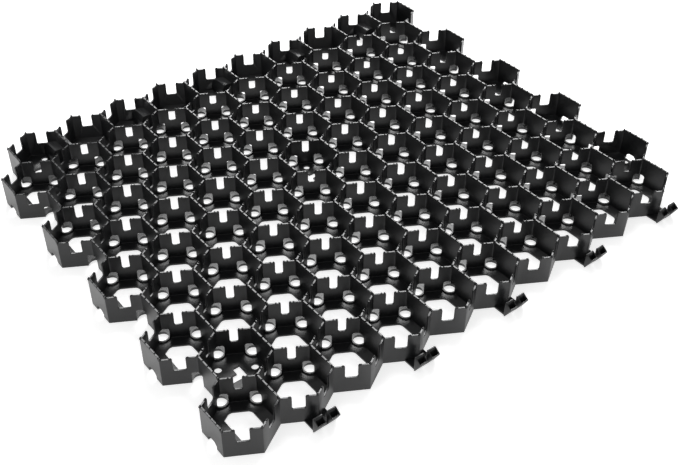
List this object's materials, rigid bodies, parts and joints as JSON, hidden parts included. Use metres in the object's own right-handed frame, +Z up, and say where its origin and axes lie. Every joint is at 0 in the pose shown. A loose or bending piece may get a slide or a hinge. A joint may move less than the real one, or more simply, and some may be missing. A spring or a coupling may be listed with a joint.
{
  "type": "grass paver grid",
  "caption": "Flat black plastic sheet of upright hexagonal cells with notched walls, flanged open floors, drain holes at the wall corners and edge clips, for reinforcing grass or gravel ground.",
  "frame": {"origin": "middle of the footprint's bounding box, edge clips included, on the ground plane", "axes": "+X along the straight rows of cells, the long side; +Y across the rows, away from the clips; +Z up"},
  "size_m": [0.7004, 0.6144, 0.0396],
  "materials": {
    "black_plastic": "injection-moulded black recycled polyethylene, semi-matte, with slightly brighter worn ridges"
  },
  "bodies": {
    "root": {"paver_grid": "black_plastic"}
  },
  "joints": []
}
